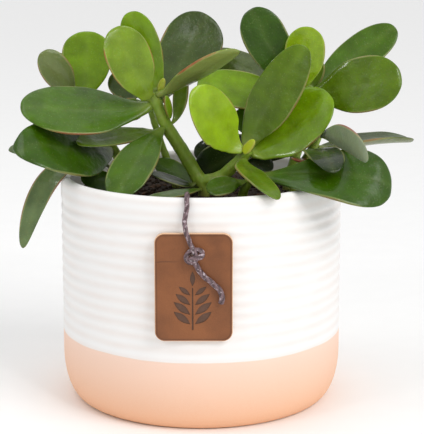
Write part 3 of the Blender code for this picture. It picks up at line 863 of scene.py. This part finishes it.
def tanned_leather(name, dark, light, roughness):
    """Veg-tanned leather: warm brown, cloudy, with a fine pebble grain and a dull polish."""
    made, tree, shader = new_material(name)
    spot = wire(tree, "TexCoord", out="Object")
    cloud = wire(tree, "TexNoise", {"Vector": spot, "Scale": 1 / (11 * MM), "Detail": 5.0}, "Fac")
    grain = wire(tree, "TexVoronoi", {"Vector": spot, "Scale": 1 / (0.55 * MM)}, "Distance")
    fibre = wire(tree, "TexNoise", {"Vector": spot, "Scale": 1 / (0.4 * MM), "Detail": 3.0}, "Fac")
    start = wire(tree, "Math", (cloud, 1.6, -0.55), operation="MULTIPLY_ADD")
    share = wire(tree, "Math", (fibre, 0.5, start), operation="MULTIPLY_ADD", use_clamp=True)
    tone = wire(tree, "Mix", {0: share, 6: linear(dark), 7: linear(light)}, 2, data_type="RGBA")
    tree.links.new(tone, shader.inputs["Base Color"])
    rough = wire(tree, "Math", (fibre, 0.15, roughness - 0.08), operation="MULTIPLY_ADD")
    tree.links.new(rough, shader.inputs["Roughness"])
    relief = wire(tree, "Math", (fibre, 0.6, grain), operation="MULTIPLY_ADD")
    bump = wire(tree, "Bump", {"Height": relief, "Strength": 0.35, "Distance": 0.12 * MM}, "Normal")
    tree.links.new(bump, shader.inputs["Normal"])
    return made


def creaser_line_and_fold_shade(made):
    """Adds the dark line that a hot creaser leaves round the face, and painted shade along a fold line
    from bending, on the left.
    """
    tree = made.node_tree
    shader = tree.nodes["Principled BSDF"]
    colour = shader.inputs["Base Color"].links[0].from_socket
    half = (tag_high - tag_low) / 2
    core = (half.x - TAG_CORNER, 1, half.z - TAG_CORNER)
    spot = wire(tree, "TexCoord", out="Object")
    off = wire(tree, "VectorMath", (spot, tuple(TAG_MIDDLE)), operation="SUBTRACT")
    side = wire(tree, "VectorMath", (off,), operation="ABSOLUTE")
    past = wire(tree, "VectorMath", (side, core), operation="SUBTRACT")
    outside = wire(tree, "VectorMath", (past, (0, 0, 0)), operation="MAXIMUM")
    reach = wire(tree, "VectorMath", (outside,), "Value", operation="LENGTH")
    short = wire(tree, "Math", (reach, TAG_CORNER - LINE_INSET), operation="SUBTRACT")
    inset = wire(tree, "Math", (short,), operation="ABSOLUTE")
    line = wire(tree, "Math", (inset, -1 / LINE_WIDTH, 1.0), operation="MULTIPLY_ADD", use_clamp=True)
    across = wire(tree, "SeparateXYZ", (off,), "X")
    height = wire(tree, "SeparateXYZ", (off,), "Z")
    # A narrow dark band across the left of the flat face: the painted shade of a fold.
    sway = wire(tree, "TexNoise", {"Vector": spot, "Scale": 1 / (5 * MM), "Detail": 2.0}, "Fac")
    level = wire(tree, "Math", (sway, 1.4 * MM, CREASE_RISE), operation="MULTIPLY_ADD")
    above = wire(tree, "Math", (height, level), operation="SUBTRACT")
    gap = wire(tree, "Math", (above,), operation="ABSOLUTE")
    crease_shade = wire(tree, "Math", (gap, -1 / CREASE_WIDTH, 1.0), operation="MULTIPLY_ADD", use_clamp=True)
    left = wire(tree, "Math", (across, -1 / (5 * MM), -1.2), operation="MULTIPLY_ADD", use_clamp=True)
    fold_shade = wire(tree, "Math", (crease_shade, left), operation="MULTIPLY")
    tooled_line_and_fold_shade = wire(tree, "Math", (fold_shade, line), operation="MAXIMUM")
    dark = wire(tree, "Math", (tooled_line_and_fold_shade, 0.55), operation="MULTIPLY")
    tone = wire(tree, "Mix", {0: dark, 6: colour, 7: linear("#3C2010")}, 2, data_type="RGBA")
    tree.links.new(tone, shader.inputs["Base Color"])


def paint_tag(item):
    """Face, pale cut edge and dark stamped floor and walls, told apart by where each facet lies."""
    for face in item.data.polygons:
        off = face.center - TAG_MIDDLE
        depth = face.center.y - tag_low.y
        flat = abs(face.normal.y) > 0.98
        stamped = abs(off.x) < STAMP_REACH_X and abs(off.z) < STAMP_REACH_Z
        if flat and abs(depth) < 0.05 * MM:
            face.material_index = FACE
        elif flat and abs(depth - STAMP_DEPTH) < 0.1 * MM:
            face.material_index = STAMP_FLOOR
        elif depth < STAMP_DEPTH and stamped:
            face.material_index = STAMP_WALL
        else:
            face.material_index = CUT_EDGE


tag = tag_blank()
cut_with(tag, hole_punch())
cut_with(tag, stamp_die())
tag.data.materials.append(tanned_leather("tanned_leather", "#6E3F1E", "#92582E", 0.55))
tag.data.materials.append(tanned_leather("leather_cut_edge", "#D9AE8A", "#EBC8A6", 0.7))
tag.data.materials.append(tanned_leather("stamped_leather", "#46301F", "#664636", 0.6))
tag.data.materials.append(tanned_leather("burnished_leather", "#4A2A18", "#5E3A22", 0.5))
creaser_line_and_fold_shade(tag.data.materials[FACE])
paint_tag(tag)
select_only(tag)
bpy.ops.object.shade_smooth_by_angle(angle=math.radians(35))
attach(tag, "root")
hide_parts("tag")

# ---------------------------------------------------------------------------------------------
# Cord: waxed cotton twisted from three plies, a little over two millimetres thick. It comes up
# inside the pot, goes over the lip, and is knotted on the tag, with a tail that lies on the leather.

CORD_DIAMETER = 2.3 * MM
CORD_SIDES = 20
CORD_STEP = 0.35 * MM
TWIST_LENGTH = 5 * MM
TWIST_DEPTH = 0.07
TAIL_SWELL = 0.13
TAIL_START = 45 * MM
TAIL_EASE = 30 * MM
END_ROUNDING = 0.8 * MM
END_SHARE = 0.45
CURVE_STEPS = 24

CORD_ROUTE_MM = (
    (-6, -63.3, 101.5), (-6, -63.3, 106.5), (-6, -63.3, 110.5), (-6, -63.9, 112.6),
    (-6, -65.4, 114.1), (-6, -67.5, 114.7), (-6, -69.6, 114.1), (-6, -71.1, 112.6),
    (-6, -71.7, 110.5), (-6.2, -71.7, 108), (-7, -72, 103.5), (-6.4, -74.1, 98.5),
    (-4.6, -74.3, 93.5), (-3.2, -74.9, 90.4), (-1.8, -76, 88.2), (-2.2, -77, 85.8),
    (-4.9, -76.3, 85), (-6.3, -74.7, 86.6), (-5.2, -73.9, 88.9), (-2.6, -74.2, 90.1),
    (0.2, -75, 89.9), (1, -76.6, 88.4), (-0.8, -77.6, 87.3), (-3.6, -77.4, 86.8),
    (-4.3, -75.6, 85.2), (-2.2, -74.7, 83.6), (1, -74.4, 78.7), (5.5, -74.4, 74.7),
    (9, -74.4, 71.2), (10, -74.4, 68.2), (9.5, -74.4, 64.7),
)


def smooth_line(points, step):
    """A Catmull-Rom curve through the points, then read at even steps."""
    ends = [2 * points[0] - points[1], *points, 2 * points[-1] - points[-2]]
    fine = []
    for a, b, c, d in zip(ends, ends[1:], ends[2:], ends[3:]):
        for t in np.linspace(0, 1, CURVE_STEPS, endpoint=False):
            bend = (c - a) * t + (2 * a - 5 * b + 4 * c - d) * t**2 + (3 * b - a - 3 * c + d) * t**3
            fine.append(b + bend / 2)
    fine = np.array(fine + [points[-1]])
    run = np.concatenate([[0], np.cumsum(np.linalg.norm(np.diff(fine, axis=0), axis=1))])
    reads = np.linspace(0, run[-1], int(run[-1] / step) + 1)
    return np.stack([np.interp(reads, run, column) for column in fine.T], 1), reads


def twisted_tube(name, line, run):
    """A round tube whose surface carries the three ridges of the twisted plies."""
    slopes = np.gradient(line, axis=0)
    slopes /= np.linalg.norm(slopes, axis=1)[:, None]
    side = np.cross(slopes[0], (0, 1, 0.3))
    spots = []
    plies = []
    turns = np.linspace(0, math.tau, CORD_SIDES, endpoint=False)
    for middle, slope, far in zip(line, slopes, run):
        side = side - slope * (side @ slope)
        side /= np.linalg.norm(side)
        up = np.cross(slope, side)
        ply = np.cos(3 * turns - math.tau * far / TWIST_LENGTH)
        close = min(1, (run[-1] - far) / END_ROUNDING + END_SHARE)
        loose = 1 + TAIL_SWELL * min(1, max(0, (far - TAIL_START) / TAIL_EASE))
        size = CORD_DIAMETER / 2 * (1 + TWIST_DEPTH * ply) * close * loose
        ring = np.cos(turns)[:, None] * side + np.sin(turns)[:, None] * up
        spots.append(middle + size[:, None] * ring)
        plies.append(ply)
    rows = len(line)
    spots = np.concatenate(spots)
    faces = []
    for row in range(rows - 1):
        for corner in range(CORD_SIDES):
            after = (corner + 1) % CORD_SIDES
            low, high = row * CORD_SIDES, (row + 1) * CORD_SIDES
            faces.append((low + corner, low + after, high + after, high + corner))
    faces.append(tuple(range(CORD_SIDES))[::-1])
    faces.append(tuple((rows - 1) * CORD_SIDES + corner for corner in range(CORD_SIDES)))
    mesh = bpy.data.meshes.new(name)
    mesh.from_pydata(spots.tolist(), [], faces)
    item = bpy.data.objects.new(name, mesh)
    bpy.context.scene.collection.objects.link(item)
    mark(item, "ply", np.concatenate(plies) * 0.5 + 0.5)
    select_only(item)
    bpy.ops.object.mode_set(mode="EDIT")
    bpy.ops.mesh.select_all(action="SELECT")
    bpy.ops.mesh.normals_make_consistent(inside=False)
    bpy.ops.object.mode_set(mode="OBJECT")
    bpy.ops.object.shade_smooth()
    return item


def waxed_cotton():
    """Waxed twisted cotton: mauve brown, with painted shade between the plies and small painted glints."""
    made, tree, shader = new_material("waxed_cotton")
    spot = wire(tree, "TexCoord", out="Object")
    ply = wire(tree, "Attribute", out="Fac", attribute_name="ply")
    fibre = wire(tree, "TexNoise", {"Vector": spot, "Scale": 1 / (0.5 * MM), "Detail": 4.0}, "Fac")
    glint_places = wire(tree, "TexNoise", {"Vector": spot, "Scale": 1 / (1.4 * MM), "Detail": 2.0}, "Fac")
    # Darker where the ply ridges sink: painted shade between the plies, over the cotton's own fibre tone.
    start = wire(tree, "Math", (ply, 0.5, -0.45), operation="MULTIPLY_ADD")
    share = wire(tree, "Math", (fibre, 1.1, start), operation="MULTIPLY_ADD", use_clamp=True)
    thread_and_ply_shade = wire(tree, "Mix", {0: share, 6: linear("#38282A"), 7: linear("#94787E")}, 2, data_type="RGBA")
    # Pale flecks mixed into the colour: painted highlights.
    spark = wire(tree, "Math", (glint_places, 7.0, -3.9), operation="MULTIPLY_ADD", use_clamp=True)
    glint = wire(tree, "Math", (spark, 0.65), operation="MULTIPLY")
    tone = wire(tree, "Mix", {0: glint, 6: thread_and_ply_shade, 7: linear("#DDCDD4")}, 2, data_type="RGBA")
    tree.links.new(tone, shader.inputs["Base Color"])
    shader.inputs["Roughness"].default_value = 0.38
    bump = wire(tree, "Bump", {"Height": fibre, "Strength": 0.7, "Distance": 0.25 * MM}, "Normal")
    tree.links.new(bump, shader.inputs["Normal"])
    return made


route = [np.array(point) * MM for point in CORD_ROUTE_MM]
cord_line, cord_run = smooth_line(route, CORD_STEP)
cord = twisted_tube("waxed_cord", cord_line, cord_run)
cord.data.materials.append(waxed_cotton())
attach(cord, "root")
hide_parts("cord", "cord_knot", "cord_tail")
